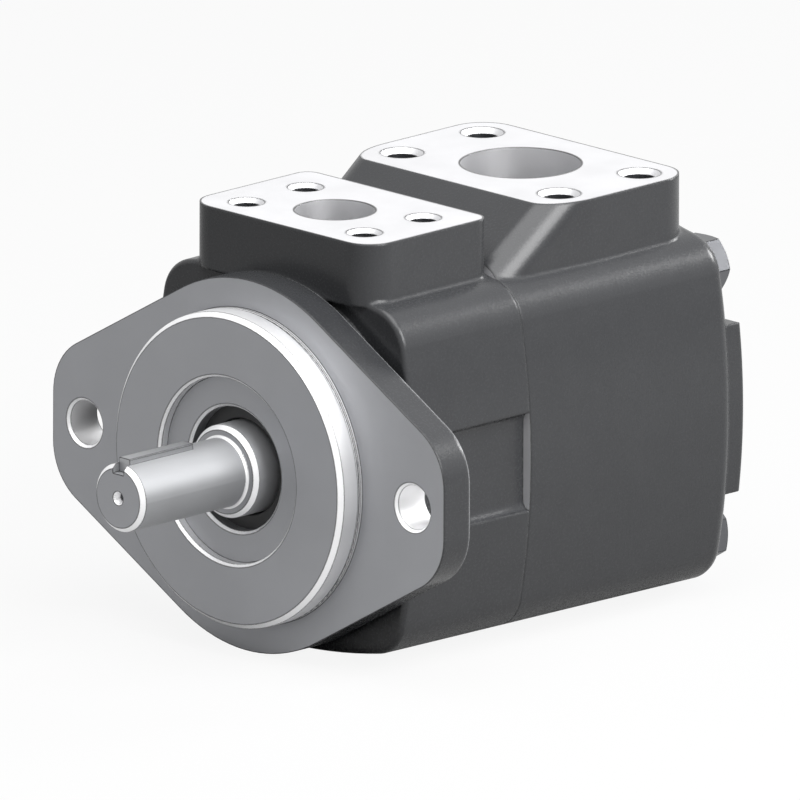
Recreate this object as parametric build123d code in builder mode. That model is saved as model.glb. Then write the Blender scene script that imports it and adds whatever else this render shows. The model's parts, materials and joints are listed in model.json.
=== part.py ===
from build123d import *
import math
import os

os.makedirs("parts", exist_ok=True)

# Hydraulic vane pump with a two-bolt flange, a keyed shaft and two ports on top.
# The shaft lies along Y with its drive end toward -Y, the ports face up along +Z,
# and the origin is the centre of the front face of the mounting flange.
# Lengths are millimetres, and a y value is a place along the shaft.

# Mounting flange and pilot
flange_thickness = 12.7
flange_ear_reach = 14.0
flange_round_radius = 60.3
flange_slope_deg = 30.0
flange_corner_radius = 20.0
flange_back_round = 2.0
flange_bolt_spacing = 146.0
flange_hole_diameter = 14.3
flange_hole_chamfer = 1.0
pilot_diameter = 101.6
pilot_height = 9.7
pilot_chamfer = 1.6
relief_width = 2.0
relief_depth = 0.6
relief_round = 1.0
neck_step = 2.3

# Cast body outline, a square with bowed sides that widens to the rear
block_front_y = 15.0
block_half_width_front = 58.0
block_half_width_rear = 60.8
block_half_height = 60.6
block_side_bow = 6.4
block_corner_radius = 14.0
block_front_round = 1.6
block_rear_round = 5.0
pocket_half_height = 16.0
pocket_floor_x = 55.6
pocket_root_round = 3.0

# Places along the shaft
seam_y = 66.7
corner_seat_y = 156.0
rear_face_y = 162.5

# Rear face, a cross that leaves a seat for a bolt head in each corner
cross_half_width = 27.0
cross_half_height = 27.5
cross_inner_radius = 8.0
cross_rim_round = 1.5

# Port pads, both faces at the same height
pad_face_z = 76.2
pad_foot_depth = 5.1
pad_root_round = 1.5
pressure_port_y = 38.1
pressure_port_diameter = 25.4
pressure_bolt_spacing_x = 52.4
pressure_bolt_spacing_y = 26.2
pressure_bolt_diameter = 10.0
pressure_pad_half_width = 40.7
pressure_pad_front_radius = 10.0
pressure_pad_rear_radius = 5.0
suction_port_y = 120.7
suction_port_diameter = 38.1
suction_bolt_spacing_x = 69.9
suction_bolt_spacing_y = 35.7
suction_bolt_diameter = 12.0
suction_pad_half_width = 47.0
suction_pad_front_y = 88.5
tower_bend_y = 106.2
tower_seam_half_width = 45.5
suction_pad_rear_y = 151.3
suction_pad_rear_radius = 12.0
ramp_foot_depth = 0.2
ramp_side_round = 10.0
port_bolt_depth = 21.0
tap_drill_ratio = 0.85
tap_mouth_ratio = 1.14

# Housing bolts, M12 hexagon head
housing_bolt_x = 40.5
housing_bolt_z = 43.3
housing_bolt_diameter = 12.0
housing_bolt_across_flats = 18.0
housing_bolt_head_height = 8.0
housing_bolt_engagement = 19.0
bolt_hole_clearance = 0.5
bolt_tip_space = 2.0
bolt_head_chamfer_deg = 60.0

# Drive shaft
shaft_diameter = 22.22
shaft_end_y = -58.0
shaft_end_chamfer = 1.5
centre_hole_diameter = 4.5
centre_hole_depth = 6.4
collar_front_y = -11.5
journal_diameter = 30.0
journal_chamfer = 1.5
collar_root_round = 1.0
shaft_spline_diameter = 24.0
spline_tooth_depth = 1.2
spline_tooth_count = 12
spline_tooth_width = 3.0
rear_journal_diameter = 20.0
shaft_rear_y = 104.5
key_width = 4.76
key_length = 28.1
key_front_y = -55.2
key_top_z = 12.6
key_edge_chamfer = 0.3

# Deep-groove ball bearing, 25 x 52 x 15
bearing_front_y = 2.3
bearing_bore = 25.0
bearing_outside = 52.0
bearing_width = 15.0
bearing_pitch_radius = 19.25
ball_diameter = 7.94
ball_count = 9
race_shoulder_gap = 2.65
race_clearance = 0.05
race_chamfer = 0.8
cage_thickness = 2.2
cage_width = 9.6

# Seal carrier, radial shaft seal 30 x 40 x 4 and its garter spring
carrier_diameter = 60.0
carrier_face_y = -6.3
carrier_bore = 40.0
recess_chamfer = 0.95
carrier_bore_chamfer = 1.0
seal_width = 4.0
seal_wall = 1.4
seal_lip_share = 0.6
garter_wire_radius = 0.7

# Pumping cartridge
cavity_radius = 47.0
chamber_front_y = 25.0
front_plate_y = 52.0
cam_front_y = 62.0
cam_rear_y = 88.0
rear_plate_y = 99.0
suction_chamber_radius = 44.0
suction_chamber_rear_y = 142.0
hub_radius = 22.0
hub_front_y = 20.0
hub_seat_y = 18.8
bulkhead_bore_radius = 18.5
plate_bore_gap = 1.0
cam_minor_radius = 32.0
cam_major_radius = 35.5
rotor_radius = 31.2
vane_count = 10
vane_thickness = 2.0
vane_height = 12.0
vane_tip_at_rest = 31.8
vane_tip_bevel = 0.6
cam_point_step_deg = 15
slot_root_radius = 17.6
slot_root_hole_radius = 1.7
window_radius = 33.4
window_width = 4.6
window_sweep_deg = 46.0
rear_bush_outside = 26.0
bush_setback = 0.5
rear_hub_radius = 18.0
rear_hub_end_y = 105.0
cartridge_screw_radius = 40.0
cartridge_screw_diameter = 5.0
cartridge_screw_head_diameter = 8.5
cartridge_screw_head_height = 5.0
cartridge_screw_tip_y = 54.0
dowel_diameter = 5.0
dowel_angle_deg = 60.0
dowel_setback = 3.0

# Rings and their grooves
joint_ring_radius = 50.4
joint_ring_section = 2.2
joint_groove_width = 2.8
carrier_ring_section = 1.9
carrier_groove_y = -2.0
hub_ring_section = 1.9
hub_root_round = 2.0
hub_groove_y = 22.7
plate_ring_section = 2.2
backup_ring_width = 1.5
groove_width_ratio = 1.4
shaft_ring_thickness = 1.2
shaft_ring_outside = 31.0
shaft_ring_gap = 4.0
shaft_ring_gap_deg = 30.0
shaft_ring_lug_radius = 1.9
shaft_groove_depth = 0.55
shaft_groove_width = 1.3

# Clearances
running_clearance = 0.03
spline_clearance = 0.04
location_clearance = 0.1
seat_clearance = 0.02
ring_clearance = 0.02

# Values that follow from the ones above
flange_hole_x = flange_bolt_spacing / 2
flange_half_width = flange_hole_x + flange_ear_reach
pad_foot_z = block_half_height - pad_foot_depth
ramp_foot_z = block_half_height - ramp_foot_depth
shaft_radius = shaft_diameter / 2
journal_radius = journal_diameter / 2
spline_root_diameter = shaft_spline_diameter - 2 * spline_tooth_depth
plate_bore_radius = shaft_spline_diameter / 2 + plate_bore_gap
ball_radius = ball_diameter / 2
bearing_rear_y = bearing_front_y + bearing_width
bearing_middle_y = bearing_front_y + bearing_width / 2
cartridge_radius = cavity_radius - location_clearance
carrier_radius = carrier_diameter / 2 - seat_clearance
rotor_width = cam_rear_y - cam_front_y - 2 * running_clearance
plate_groove_middle_y = (front_plate_y + cam_front_y) / 2
plate_groove_width = plate_ring_section * groove_width_ratio + backup_ring_width
housing_bolt_places = [
    (side * housing_bolt_x, level * housing_bolt_z)
    for level in (1, -1)
    for side in (1, -1)
]


def across(y):
    """Plane square to the shaft at y, with X to the right and Z up, facing the drive end."""
    return Plane.XZ.offset(-y)


def block_half_width(y):
    """Half width of the cast body at y."""
    part_way = (y - block_front_y) / (corner_seat_y - block_front_y)
    return block_half_width_front + part_way * (block_half_width_rear - block_half_width_front)


def block_outline(y, inset=0.0):
    """Bowed square outline of the cast body at y, as a face on that plane."""
    half_width = block_half_width(y) - inset
    half_height = block_half_height - inset
    corner_x = half_width - block_side_bow
    corner_z = half_height - block_side_bow
    with BuildSketch(across(y)) as outline:
        with BuildLine():
            ThreePointArc((corner_x, -corner_z), (half_width, 0), (corner_x, corner_z))
            ThreePointArc((corner_x, corner_z), (0, half_height), (-corner_x, corner_z))
            ThreePointArc((-corner_x, corner_z), (-half_width, 0), (-corner_x, -corner_z))
            ThreePointArc((-corner_x, -corner_z), (0, -half_height), (corner_x, -corner_z))
        make_face()
        fillet(outline.vertices(), radius=block_corner_radius)
    return outline.sketch


def plain_ring(inner_radius, outer_radius, front_y, rear_y):
    """Ring about the shaft axis with square edges."""
    with BuildPart() as ring:
        with BuildSketch(across(rear_y)):
            Circle(outer_radius)
            Circle(inner_radius, mode=Mode.SUBTRACT)
        extrude(amount=rear_y - front_y)
    return ring.part


def round_ring(middle_radius, section, y):
    """Ring of round section about the shaft axis."""
    with BuildPart() as ring:
        with BuildSketch(Plane.XY):
            with Locations((middle_radius, y)):
                Circle(section / 2)
        revolve(axis=Axis.Y)
    return ring.part


def cam_radius(angle_deg):
    """Radius of the two-lobed cam track, widest along X."""
    lift = cam_major_radius - cam_minor_radius
    return cam_minor_radius + lift * (1 + math.cos(math.radians(2 * angle_deg))) / 2


def save(solid, name):
    """Label one finished piece and write its file."""
    solid.label = name
    export_step(solid, f"parts/{name}.step")


# Outlines of the cast body where the castings begin and end
block_front_outline = block_outline(block_front_y)
seam_outline = block_outline(seam_y)
corner_seat_outline = block_outline(corner_seat_y)

# Front block, with a rounded front rim
with BuildPart() as front_block:
    loft([block_front_outline, seam_outline], ruled=True)
    front_rim = front_block.faces().sort_by(Axis.Y)[0]
    fillet(front_rim.edges(), radius=block_front_round)

# Room of the side pockets, with a flat floor and rounded roots
with BuildPart() as side_pockets:
    with BuildSketch(across(seam_y)):
        with Locations((pocket_floor_x + block_side_bow, 0), (-pocket_floor_x - block_side_bow, 0)):
            Rectangle(2 * block_side_bow, 2 * pocket_half_height)
    extrude(amount=seam_y - block_front_y)
    pocket_floors = side_pockets.faces().filter_by(
        lambda face: abs(abs(face.center().X) - pocket_floor_x) < 0.01
    )
    fillet(pocket_floors.edges().filter_by(Axis.Y), radius=pocket_root_round)

# Flange plate, with a rounded back rim
slope = math.radians(flange_slope_deg)
slope_x = flange_round_radius * math.sin(slope)
slope_z = flange_round_radius * math.cos(slope)
flange_corner_z = slope_z - (flange_half_width - slope_x) * math.tan(slope)

with BuildPart() as flange_plate:
    with BuildSketch(across(flange_thickness)) as flange_outline:
        with BuildLine() as flange_edge:
            Line((flange_half_width, 0), (flange_half_width, flange_corner_z))
            Line((flange_half_width, flange_corner_z), (slope_x, slope_z))
            ThreePointArc((slope_x, slope_z), (0, flange_round_radius), (-slope_x, slope_z))
            Line((-slope_x, slope_z), (-flange_half_width, flange_corner_z))
            Line((-flange_half_width, flange_corner_z), (-flange_half_width, 0))
            mirror(about=Plane.XZ)
        make_face()
        flange_corners = flange_outline.vertices().filter_by(
            lambda corner: abs(abs(corner.X) - flange_half_width) < 0.01 and abs(corner.Y) > 0.01
        )
        fillet(flange_corners, radius=flange_corner_radius)
    extrude(amount=flange_thickness)
    flange_back = flange_plate.faces().sort_by(Axis.Y)[-1]
    fillet(flange_back.edges(), radius=flange_back_round)

# Front housing: flange, pilot, block and pressure port pad in one casting
with BuildPart() as front_housing:
    add(front_block.part)
    add(flange_plate.part)

    # Short round neck between the flange and the block
    with BuildSketch(across(block_front_y + block_front_round)):
        Circle(flange_round_radius - neck_step)
    extrude(amount=block_front_y + block_front_round - flange_thickness / 2)

    # Pressure port pad
    with BuildSketch(Plane.XY.offset(pad_face_z)) as pad_outline:
        with Locations((0, (flange_thickness + seam_y) / 2)):
            Rectangle(2 * pressure_pad_half_width, seam_y - flange_thickness)
        fillet(pad_outline.vertices().group_by(Axis.Y)[0], radius=pressure_pad_front_radius)
        fillet(pad_outline.vertices().group_by(Axis.Y)[-1], radius=pressure_pad_rear_radius)
    extrude(amount=pad_foot_z - pad_face_z)
    pad_roots = front_housing.edges().filter_by(
        lambda edge: abs(abs(edge.center().X) - pressure_pad_half_width) < 0.01
        and block_front_y < edge.center().Y < seam_y
        and edge.center().Z < block_half_height
    )
    fillet(pad_roots, radius=pad_root_round)

    # Pocket in each side, open to the front
    add(side_pockets.part, mode=Mode.SUBTRACT)

    # Pilot
    with BuildSketch(Plane.XY):
        with BuildLine():
            Polyline(
                (0, flange_thickness / 2),
                (pilot_diameter / 2, flange_thickness / 2),
                (pilot_diameter / 2, pilot_chamfer - pilot_height),
                (pilot_diameter / 2 - pilot_chamfer, -pilot_height),
                (0, -pilot_height),
                close=True,
            )
        make_face()
    revolve(axis=Axis.Y)

    # Relief groove at the root of the pilot
    with BuildSketch(Plane.XY):
        with BuildLine():
            groove_floor = pilot_diameter / 2 - relief_depth
            Polyline(
                (groove_floor, -relief_round),
                (groove_floor, -relief_width),
                (pilot_diameter / 2, -relief_width),
                (groove_floor + relief_round, -relief_width),
                (groove_floor + relief_round, 0),
            )
            RadiusArc((groove_floor + relief_round, 0), (groove_floor, -relief_round), relief_round)
        make_face()
    revolve(axis=Axis.Y, mode=Mode.SUBTRACT)

    # Stepped bore: carrier, bearing, bulkhead, hub seat and pressure chamber
    with BuildSketch(Plane.XY):
        with BuildLine():
            Polyline(
                (0, -pilot_height),
                (carrier_diameter / 2 + recess_chamfer, -pilot_height),
                (carrier_diameter / 2, recess_chamfer - pilot_height),
                (carrier_diameter / 2, bearing_front_y),
                (bearing_outside / 2, bearing_front_y),
                (bearing_outside / 2, bearing_rear_y),
                (bulkhead_bore_radius, bearing_rear_y),
                (bulkhead_bore_radius, hub_seat_y),
                (hub_radius, hub_seat_y),
                (hub_radius, chamber_front_y),
                (cavity_radius, chamber_front_y),
                (cavity_radius, seam_y),
                (0, seam_y),
                close=True,
            )
        make_face()
    revolve(axis=Axis.Y, mode=Mode.SUBTRACT)

    # Groove for the ring in the joint face
    with BuildSketch(across(seam_y)):
        Circle(joint_ring_radius + joint_groove_width / 2)
        Circle(joint_ring_radius - joint_groove_width / 2, mode=Mode.SUBTRACT)
    extrude(amount=joint_ring_section, mode=Mode.SUBTRACT)

    # Flange holes, eased at the front face
    with BuildSketch(across(flange_thickness)):
        with Locations((flange_hole_x, 0), (-flange_hole_x, 0)):
            Circle(flange_hole_diameter / 2)
    extrude(amount=flange_thickness, mode=Mode.SUBTRACT)
    flange_hole_rims = (
        front_housing.edges()
        .filter_by(GeomType.CIRCLE)
        .filter_by(lambda rim: abs(rim.radius - flange_hole_diameter / 2) < 0.01)
        .group_by(Axis.Y)[0]
    )
    chamfer(flange_hole_rims, length=flange_hole_chamfer)

    # Threaded holes for the housing bolts
    with BuildSketch(across(seam_y)):
        with Locations(housing_bolt_places):
            Circle(housing_bolt_diameter / 2 + seat_clearance)
    extrude(amount=housing_bolt_engagement + bolt_tip_space, mode=Mode.SUBTRACT)

    # Pressure port and its four threaded holes
    with Locations(Location((0, pressure_port_y, pad_face_z))):
        Hole(radius=pressure_port_diameter / 2, depth=pad_face_z)
        with GridLocations(pressure_bolt_spacing_x, pressure_bolt_spacing_y, 2, 2):
            CounterSinkHole(
                radius=pressure_bolt_diameter * tap_drill_ratio / 2,
                counter_sink_radius=pressure_bolt_diameter * tap_mouth_ratio / 2,
                depth=port_bolt_depth,
                counter_sink_angle=90,
            )

save(front_housing.part, "front_housing")

# Tower under the suction port, with a ramp that comes down to the seam
with BuildPart() as tower:
    with BuildSketch(Plane.YZ):
        with BuildLine():
            Polyline(
                (seam_y, 0),
                (seam_y, ramp_foot_z),
                (suction_pad_front_y, pad_face_z),
                (suction_pad_rear_y, pad_face_z),
                (suction_pad_rear_y, 0),
                close=True,
            )
        make_face()
    extrude(amount=suction_pad_half_width, both=True)
    with BuildSketch(Plane.XY):
        with BuildLine():
            Polyline(
                (tower_seam_half_width, seam_y),
                (suction_pad_half_width, tower_bend_y),
                (suction_pad_half_width, suction_pad_rear_y),
                (-suction_pad_half_width, suction_pad_rear_y),
                (-suction_pad_half_width, tower_bend_y),
                (-tower_seam_half_width, seam_y),
                close=True,
            )
        make_face()
    extrude(amount=pad_face_z, mode=Mode.INTERSECT)
    ramp_sides = tower.edges().filter_by(
        lambda edge: abs(edge.tangent_at(0.5).Y) > 0.1 and abs(edge.tangent_at(0.5).Z) > 0.1
    )
    fillet(ramp_sides, radius=ramp_side_round)
    tower_rear_corners = tower.edges().filter_by(Axis.Z).group_by(Axis.Y)[-1]
    fillet(tower_rear_corners, radius=suction_pad_rear_radius)

# Cross on the rear face, which leaves a seat for a bolt head in each corner
cross_limit = block_outline(rear_face_y, inset=block_rear_round / 2)
with BuildPart() as rear_cross:
    with BuildSketch(across(rear_face_y)) as cross_outline:
        Rectangle(2 * cross_half_width, 2 * block_half_height)
        Rectangle(2 * block_half_width_rear, 2 * cross_half_height)
        inner_corners = cross_outline.vertices().filter_by(
            lambda corner: abs(abs(corner.X) - cross_half_width) < 0.01
            and abs(abs(corner.Y) - cross_half_height) < 0.01
        )
        fillet(inner_corners, radius=cross_inner_radius)
    extrude(amount=rear_face_y - corner_seat_y + block_rear_round)
    extrude(cross_limit, amount=rear_face_y - corner_seat_y + block_rear_round, mode=Mode.INTERSECT)
    cross_face = rear_cross.faces().sort_by(Axis.Y)[-1]
    fillet(cross_face.edges(), radius=cross_rim_round)

# Rear housing: block, suction port tower and rear cross in one casting
with BuildPart() as rear_housing:
    loft([seam_outline, corner_seat_outline], ruled=True)
    add(tower.part)
    tower_roots = rear_housing.edges().filter_by(
        lambda edge: seam_y + 0.01 < edge.center().Y < suction_pad_rear_y - suction_pad_rear_radius
        and 0 < edge.center().Z < block_half_height
        and tower_seam_half_width - 2 * pad_root_round < abs(edge.center().X) < suction_pad_half_width + 0.01
    )
    fillet(tower_roots, radius=pad_root_round)
    rear_rim = rear_housing.faces().sort_by(Axis.Y)[-1]
    fillet(rear_rim.edges(), radius=block_rear_round)
    add(rear_cross.part)

    # Cartridge bore and suction chamber
    with BuildSketch(Plane.XY):
        with BuildLine():
            Polyline(
                (0, seam_y),
                (cavity_radius, seam_y),
                (cavity_radius, rear_plate_y),
                (suction_chamber_radius, rear_plate_y),
                (suction_chamber_radius, suction_chamber_rear_y),
                (0, suction_chamber_rear_y),
                close=True,
            )
        make_face()
    revolve(axis=Axis.Y, mode=Mode.SUBTRACT)

    # Clear holes for the housing bolts
    with BuildSketch(across(corner_seat_y)):
        with Locations(housing_bolt_places):
            Circle(housing_bolt_diameter / 2 + bolt_hole_clearance)
    extrude(amount=corner_seat_y - seam_y, mode=Mode.SUBTRACT)

    # Suction port and its four threaded holes
    with Locations(Location((0, suction_port_y, pad_face_z))):
        Hole(radius=suction_port_diameter / 2, depth=pad_face_z)
        with GridLocations(suction_bolt_spacing_x, suction_bolt_spacing_y, 2, 2):
            CounterSinkHole(
                radius=suction_bolt_diameter * tap_drill_ratio / 2,
                counter_sink_radius=suction_bolt_diameter * tap_mouth_ratio / 2,
                depth=port_bolt_depth,
                counter_sink_angle=90,
            )

save(rear_housing.part, "rear_housing")


def housing_bolt(x, z, turn_deg):
    """Hexagon-head bolt from its corner seat forward into the front housing."""
    with BuildPart() as bolt:
        with BuildSketch(across(corner_seat_y + housing_bolt_head_height)):
            with Locations((x, z)):
                RegularPolygon(housing_bolt_across_flats / 2, 6, major_radius=False, rotation=turn_deg)
        extrude(amount=housing_bolt_head_height)
        with BuildSketch(across(corner_seat_y + housing_bolt_head_height)):
            with Locations((x, z)):
                Circle(housing_bolt_across_flats / 2)
        extrude(amount=housing_bolt_head_height, taper=-bolt_head_chamfer_deg, mode=Mode.INTERSECT)
        with BuildSketch(across(corner_seat_y)):
            with Locations((x, z)):
                Circle(housing_bolt_diameter / 2)
        extrude(amount=corner_seat_y - seam_y + housing_bolt_engagement)
    return bolt.part


# Housing bolts: the upper heads point a corner sideways, the lower heads a flat
with BuildPart() as housing_bolts:
    for x, z in housing_bolt_places:
        add(housing_bolt(x, z, turn_deg=0 if z > 0 else 30))

save(housing_bolts.part, "housing_bolts")

# Drive shaft: keyed end, seal journal, bearing seat, spline and rear journal
with BuildPart() as drive_shaft:
    with BuildSketch(Plane.XY) as shaft_profile:
        with BuildLine():
            Polyline(
                (0, shaft_end_y + centre_hole_depth),
                (centre_hole_diameter / 4, shaft_end_y + centre_hole_depth),
                (centre_hole_diameter / 4, shaft_end_y + centre_hole_diameter / 2),
                (centre_hole_diameter / 2, shaft_end_y),
                (shaft_radius - shaft_end_chamfer, shaft_end_y),
                (shaft_radius, shaft_end_y + shaft_end_chamfer),
                (shaft_radius, collar_front_y),
                (journal_radius - journal_chamfer, collar_front_y),
                (journal_radius, collar_front_y + journal_chamfer),
                (journal_radius, bearing_front_y),
                (bearing_bore / 2, bearing_front_y),
                (bearing_bore / 2, bearing_rear_y),
                (bearing_bore / 2 - shaft_groove_depth, bearing_rear_y),
                (bearing_bore / 2 - shaft_groove_depth, bearing_rear_y + shaft_groove_width),
                (bearing_bore / 2, bearing_rear_y + shaft_groove_width),
                (bearing_bore / 2, bearing_rear_y + 2 * shaft_groove_width),
                (shaft_spline_diameter / 2, bearing_rear_y + 2 * shaft_groove_width),
                (shaft_spline_diameter / 2, cam_front_y),
                (spline_root_diameter / 2, cam_front_y),
                (spline_root_diameter / 2, cam_rear_y),
                (rear_journal_diameter / 2, cam_rear_y),
                (rear_journal_diameter / 2, shaft_rear_y - journal_chamfer),
                (rear_journal_diameter / 2 - journal_chamfer, shaft_rear_y),
                (0, shaft_rear_y),
                close=True,
            )
        make_face()
        collar_root = shaft_profile.vertices().filter_by(
            lambda corner: abs(corner.X - shaft_radius) < 0.01 and abs(corner.Y - collar_front_y) < 0.01
        )
        fillet(collar_root, radius=collar_root_round)
    revolve(axis=Axis.Y)

    # Spline teeth that carry the rotor
    with BuildSketch(across(cam_rear_y)):
        with PolarLocations(spline_root_diameter / 2, spline_tooth_count):
            Rectangle(2 * spline_tooth_depth, spline_tooth_width)
        Circle(shaft_spline_diameter / 2, mode=Mode.INTERSECT)
        Circle(spline_root_diameter / 2)
    extrude(amount=cam_rear_y - cam_front_y)

    # Keyway, open at the shaft end
    with BuildSketch(across(key_front_y + key_length)):
        with Locations((0, key_top_z - key_width / 2)):
            Rectangle(key_width, key_width)
    extrude(amount=key_front_y + key_length - shaft_end_y, mode=Mode.SUBTRACT)

save(drive_shaft.part, "drive_shaft")

# Square key
with BuildPart() as shaft_key:
    with BuildSketch(across(key_front_y + key_length)):
        with Locations((0, key_top_z - key_width / 2)):
            Rectangle(key_width, key_width)
    extrude(amount=key_length)
    chamfer(shaft_key.edges().filter_by(Axis.Y), length=key_edge_chamfer)

save(shaft_key.part, "shaft_key")

# Seal carrier: flat ring in the mouth of the pilot, which holds the shaft seal
with BuildPart() as seal_carrier:
    with BuildSketch(Plane.XY):
        with BuildLine():
            Polyline(
                (carrier_bore / 2 + carrier_bore_chamfer, carrier_face_y),
                (carrier_radius, carrier_face_y),
                (carrier_radius, bearing_front_y),
                (carrier_bore / 2, bearing_front_y),
                (carrier_bore / 2, carrier_face_y + carrier_bore_chamfer),
                close=True,
            )
        make_face()
        with Locations((carrier_radius - carrier_ring_section / 2, carrier_groove_y)):
            Rectangle(carrier_ring_section, carrier_ring_section * groove_width_ratio, mode=Mode.SUBTRACT)
    revolve(axis=Axis.Y)

save(seal_carrier.part, "seal_carrier")
save(
    round_ring(carrier_radius - carrier_ring_section / 2, carrier_ring_section, carrier_groove_y),
    "carrier_oring",
)

# Radial shaft seal, open to the rear, with its lip on the journal
seal_front_y = bearing_front_y - seal_width
seal_radius = carrier_bore / 2 - seat_clearance
lip_radius = journal_radius + running_clearance
lip_y = seal_front_y + seal_width * seal_lip_share
spring_seat_radius = lip_radius + seal_wall
with BuildPart() as shaft_seal:
    with BuildSketch(Plane.XY):
        with BuildLine():
            Polyline(
                (seal_radius, seal_front_y),
                (seal_radius, bearing_front_y - seat_clearance),
                (seal_radius - seal_wall, bearing_front_y - seat_clearance),
                (seal_radius - seal_wall, seal_front_y + seal_wall),
                (spring_seat_radius + seal_wall, seal_front_y + seal_wall),
                (spring_seat_radius, lip_y - garter_wire_radius),
                (spring_seat_radius, lip_y + garter_wire_radius),
                (spring_seat_radius + garter_wire_radius / 2, lip_y + 2 * garter_wire_radius),
                (lip_radius + seal_wall / 2, lip_y + 2 * garter_wire_radius),
                (lip_radius, lip_y),
                (lip_radius + seal_wall, seal_front_y + seal_wall),
                (lip_radius + seal_wall / 2, seal_front_y),
                close=True,
            )
        make_face()
    revolve(axis=Axis.Y)

save(shaft_seal.part, "shaft_seal")
save(
    round_ring(spring_seat_radius + garter_wire_radius, 2 * garter_wire_radius, lip_y),
    "seal_spring",
)

# Ball bearing: two races with a deep groove, balls and cage
raceway_radius = ball_radius + race_clearance
inner_shoulder_radius = bearing_pitch_radius - race_shoulder_gap
outer_shoulder_radius = bearing_pitch_radius + race_shoulder_gap
with BuildPart() as bearing_inner_race:
    with BuildSketch(Plane.XY) as race_profile:
        with Locations(((bearing_bore / 2 + inner_shoulder_radius) / 2, bearing_middle_y)):
            Rectangle(inner_shoulder_radius - bearing_bore / 2, bearing_width)
        chamfer(race_profile.vertices().group_by(Axis.X)[0], length=race_chamfer)
        with Locations((bearing_pitch_radius, bearing_middle_y)):
            Circle(raceway_radius, mode=Mode.SUBTRACT)
    revolve(axis=Axis.Y)

save(bearing_inner_race.part, "bearing_inner_race")

with BuildPart() as bearing_outer_race:
    with BuildSketch(Plane.XY) as race_profile:
        with Locations(((bearing_outside / 2 + outer_shoulder_radius) / 2, bearing_middle_y)):
            Rectangle(bearing_outside / 2 - outer_shoulder_radius, bearing_width)
        chamfer(race_profile.vertices().group_by(Axis.X)[-1], length=race_chamfer)
        with Locations((bearing_pitch_radius, bearing_middle_y)):
            Circle(raceway_radius, mode=Mode.SUBTRACT)
    revolve(axis=Axis.Y)

save(bearing_outer_race.part, "bearing_outer_race")

with BuildPart(across(bearing_middle_y)) as bearing_balls:
    with PolarLocations(bearing_pitch_radius, ball_count):
        Sphere(ball_radius)

save(bearing_balls.part, "bearing_balls")

with BuildPart(across(bearing_middle_y)) as bearing_cage:
    Cylinder(bearing_pitch_radius + cage_thickness / 2, cage_width)
    Cylinder(bearing_pitch_radius - cage_thickness / 2, cage_width, mode=Mode.SUBTRACT)
    with PolarLocations(bearing_pitch_radius, ball_count):
        Cylinder(raceway_radius, 2 * cage_thickness, rotation=(0, 90, 0), mode=Mode.SUBTRACT)

save(bearing_cage.part, "bearing_cage")

# Retaining ring behind the bearing, with two lugs beside its gap
ring_inner_radius = bearing_bore / 2 - shaft_groove_depth
lug_turn = math.radians(shaft_ring_gap_deg / 2)
lug_x = shaft_ring_outside / 2 * math.sin(lug_turn)
lug_z = shaft_ring_outside / 2 * math.cos(lug_turn)
shaft_ring_lugs = [(lug_x, lug_z), (-lug_x, lug_z)]
with BuildPart() as shaft_ring:
    with BuildSketch(across(bearing_rear_y + shaft_ring_thickness)):
        Circle(shaft_ring_outside / 2)
        with Locations(shaft_ring_lugs):
            Circle(shaft_ring_lug_radius)
        Circle(ring_inner_radius, mode=Mode.SUBTRACT)
        with Locations((0, shaft_ring_outside / 2)):
            Rectangle(shaft_ring_gap, shaft_ring_outside, mode=Mode.SUBTRACT)
        with Locations(shaft_ring_lugs):
            Circle(shaft_ring_lug_radius / 2, mode=Mode.SUBTRACT)
    extrude(amount=shaft_ring_thickness)

save(shaft_ring.part, "shaft_ring")


def windows(first_angle_deg):
    """Two opposite kidney windows of a port plate, as a sketch on XY."""
    with BuildSketch() as kidneys:
        for turn in (0, 180):
            with BuildLine(mode=Mode.PRIVATE) as middle_line:
                CenterArc(
                    (0, 0),
                    window_radius,
                    first_angle_deg + turn - window_sweep_deg / 2,
                    window_sweep_deg,
                )
            SlotArc(middle_line.edges()[0], window_width)
    return kidneys.sketch


discharge_windows = windows(45)
suction_windows = windows(135)

# Front port plate, pressed on the cam ring, with its hub in the bulkhead
with BuildPart() as front_port_plate:
    with BuildSketch(Plane.XY) as plate_profile:
        with BuildLine():
            Polyline(
                (plate_bore_radius, hub_front_y),
                (hub_radius - seat_clearance, hub_front_y),
                (hub_radius - seat_clearance, front_plate_y),
                (cartridge_radius, front_plate_y),
                (cartridge_radius, cam_front_y),
                (plate_bore_radius, cam_front_y),
                close=True,
            )
        make_face()
        hub_root = plate_profile.vertices().filter_by(
            lambda corner: abs(corner.X - hub_radius) < 1 and abs(corner.Y - front_plate_y) < 0.01
        )
        fillet(hub_root, radius=hub_root_round)
        with Locations((hub_radius - seat_clearance - hub_ring_section / 2, hub_groove_y)):
            Rectangle(hub_ring_section, hub_ring_section * groove_width_ratio, mode=Mode.SUBTRACT)
        with Locations((cartridge_radius - plate_ring_section / 2, plate_groove_middle_y)):
            Rectangle(plate_ring_section, plate_groove_width, mode=Mode.SUBTRACT)
    revolve(axis=Axis.Y)
    with BuildSketch(across(cam_front_y)):
        add(discharge_windows)
    extrude(amount=cam_front_y - front_plate_y + hub_root_round, mode=Mode.SUBTRACT)
    with BuildSketch(across(cam_front_y)):
        with PolarLocations(cartridge_screw_radius, 2, start_angle=90):
            Circle(cartridge_screw_diameter / 2 + seat_clearance)
        with PolarLocations(cartridge_screw_radius, 2, start_angle=dowel_angle_deg):
            Circle(dowel_diameter / 2 + seat_clearance)
    extrude(amount=cam_front_y - cartridge_screw_tip_y, mode=Mode.SUBTRACT)

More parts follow.
